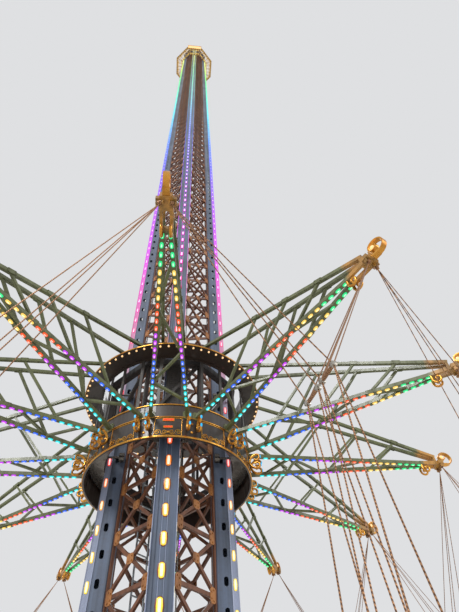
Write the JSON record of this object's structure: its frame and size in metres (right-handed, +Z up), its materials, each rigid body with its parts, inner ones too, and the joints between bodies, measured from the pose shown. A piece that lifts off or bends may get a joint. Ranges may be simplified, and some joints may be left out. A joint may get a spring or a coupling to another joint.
{
  "type": "swing tower ride, scale model 1:2",
  "caption": "Swing tower ride: lattice mast, climbing carriage, turning star of arms and rope-hung double seats that fly outwards.",
  "frame": {"origin": "centre of the underside of the foundation frame, on the mast axis", "axes": "+Z up along the mast; the mast's columns stand on +X, +Y, -X and -Y; the viewer stands on -Y"},
  "size_m": [7.9054, 7.9054, 39.1349],
  "materials": {
    "column_paint": "satin",
    "lattice_paint": "satin",
    "foundation_paint": "satin",
    "galvanised_steel": "galvanised",
    "rope_steel": "satin",
    "roller_iron": "machined",
    "scroll_gold": "gloss",
    "carriage_paint": "satin",
    "arm_paint": "satin",
    "seat_shell": "gloss"
  },
  "bodies": {
    "mast": {"foundation": "foundation_paint", "column_shoes": "foundation_paint", "column_near": "column_paint", "column_right": "column_paint", "column_far": "column_paint", "column_left": "column_paint", "lattice_1": "lattice_paint", "lattice_2": "lattice_paint", "lattice_3": "lattice_paint", "lattice_4": "lattice_paint", "ladder": "galvanised_steel", "hoist_ropes": "rope_steel", "mast_head": "column_paint", "head_sheaves": "roller_iron", "crown": "scroll_gold"},
    "carriage": {"carriage_frame": "carriage_paint", "guide_rollers": "roller_iron", "slewing_ring": "roller_iron"},
    "star": {"hub_lower_ring": "scroll_gold", "hub_upper_ring": "scroll_gold", "hub_posts": "carriage_paint", "root_scrolls": "scroll_gold", "end_scrolls": "scroll_gold", "arm_1": "arm_paint", "arm_2": "arm_paint", "arm_3": "arm_paint", "arm_4": "arm_paint", "arm_5": "arm_paint", "arm_6": "arm_paint", "arm_7": "arm_paint", "arm_8": "arm_paint", "arm_9": "arm_paint", "arm_10": "arm_paint", "arm_11": "arm_paint", "arm_12": "arm_paint"},
    "swing_1": {"swing_ropes_1": "rope_steel", "seat_1": "seat_shell"},
    "swing_2": {"swing_ropes_2": "rope_steel", "seat_2": "seat_shell"},
    "swing_3": {"swing_ropes_3": "rope_steel", "seat_3": "seat_shell"},
    "swing_4": {"swing_ropes_4": "rope_steel", "seat_4": "seat_shell"},
    "swing_5": {"swing_ropes_5": "rope_steel", "seat_5": "seat_shell"},
    "swing_6": {"swing_ropes_6": "rope_steel", "seat_6": "seat_shell"},
    "swing_7": {"swing_ropes_7": "rope_steel", "seat_7": "seat_shell"},
    "swing_8": {"swing_ropes_8": "rope_steel", "seat_8": "seat_shell"},
    "swing_9": {"swing_ropes_9": "rope_steel", "seat_9": "seat_shell"},
    "swing_10": {"swing_ropes_10": "rope_steel", "seat_10": "seat_shell"},
    "swing_11": {"swing_ropes_11": "rope_steel", "seat_11": "seat_shell"},
    "swing_12": {"swing_ropes_12": "rope_steel", "seat_12": "seat_shell"}
  },
  "joints": [
    {"name": "carriage_lift", "type": "slide", "parent": "mast", "child": "carriage", "axis": [0, 0, 1], "range_m": [0, 30]},
    {"name": "star_spin", "type": "hinge", "parent": "carriage", "child": "star", "pos_m": [0, 0, 4.2], "axis": [0, 0, 1], "continuous": true},
    {"name": "swing_1_out", "type": "hinge", "parent": "star", "child": "swing_1", "pos_m": [0.8648, -3.52085, 4.1925], "axis": [-0.9711, -0.2385, 0], "range_deg": [-5, 50]},
    {"name": "swing_2_out", "type": "hinge", "parent": "star", "child": "swing_2", "pos_m": [2.50937, -2.61674, 4.1925], "axis": [-0.7218, -0.6921, 0], "range_deg": [-5, 50]},
    {"name": "swing_3_out", "type": "hinge", "parent": "star", "child": "swing_3", "pos_m": [3.48155, -1.01148, 4.1925], "axis": [-0.279, -0.9603, 0], "range_deg": [-5, 50]},
    {"name": "swing_4_out", "type": "hinge", "parent": "star", "child": "swing_4", "pos_m": [3.52085, 0.8648, 4.1925], "axis": [0.2385, -0.9711, 0], "range_deg": [-5, 50]},
    {"name": "swing_5_out", "type": "hinge", "parent": "star", "child": "swing_5", "pos_m": [2.61674, 2.50937, 4.1925], "axis": [0.6921, -0.7218, 0], "range_deg": [-5, 50]},
    {"name": "swing_6_out", "type": "hinge", "parent": "star", "child": "swing_6", "pos_m": [1.01148, 3.48155, 4.1925], "axis": [0.9603, -0.279, 0], "range_deg": [-5, 50]},
    {"name": "swing_7_out", "type": "hinge", "parent": "star", "child": "swing_7", "pos_m": [-0.8648, 3.52085, 4.1925], "axis": [0.9711, 0.2385, 0], "range_deg": [-5, 50]},
    {"name": "swing_8_out", "type": "hinge", "parent": "star", "child": "swing_8", "pos_m": [-2.50937, 2.61674, 4.1925], "axis": [0.7218, 0.6921, 0], "range_deg": [-5, 50]},
    {"name": "swing_9_out", "type": "hinge", "parent": "star", "child": "swing_9", "pos_m": [-3.48155, 1.01148, 4.1925], "axis": [0.279, 0.9603, 0], "range_deg": [-5, 50]},
    {"name": "swing_10_out", "type": "hinge", "parent": "star", "child": "swing_10", "pos_m": [-3.52085, -0.8648, 4.1925], "axis": [-0.2385, 0.9711, 0], "range_deg": [-5, 50]},
    {"name": "swing_11_out", "type": "hinge", "parent": "star", "child": "swing_11", "pos_m": [-2.61674, -2.50937, 4.1925], "axis": [-0.6921, 0.7218, 0], "range_deg": [-5, 50]},
    {"name": "swing_12_out", "type": "hinge", "parent": "star", "child": "swing_12", "pos_m": [-1.01148, -3.48155, 4.1925], "axis": [-0.9603, 0.279, 0], "range_deg": [-5, 50]}
  ],
  "couplings": [
    {"joint": "swing_2_out", "follows": "swing_1_out", "ratio": 1},
    {"joint": "swing_3_out", "follows": "swing_1_out", "ratio": 1},
    {"joint": "swing_4_out", "follows": "swing_1_out", "ratio": 1},
    {"joint": "swing_5_out", "follows": "swing_1_out", "ratio": 1},
    {"joint": "swing_6_out", "follows": "swing_1_out", "ratio": 1},
    {"joint": "swing_7_out", "follows": "swing_1_out", "ratio": 1},
    {"joint": "swing_8_out", "follows": "swing_1_out", "ratio": 1},
    {"joint": "swing_9_out", "follows": "swing_1_out", "ratio": 1},
    {"joint": "swing_10_out", "follows": "swing_1_out", "ratio": 1},
    {"joint": "swing_11_out", "follows": "swing_1_out", "ratio": 1},
    {"joint": "swing_12_out", "follows": "swing_1_out", "ratio": 1}
  ]
}
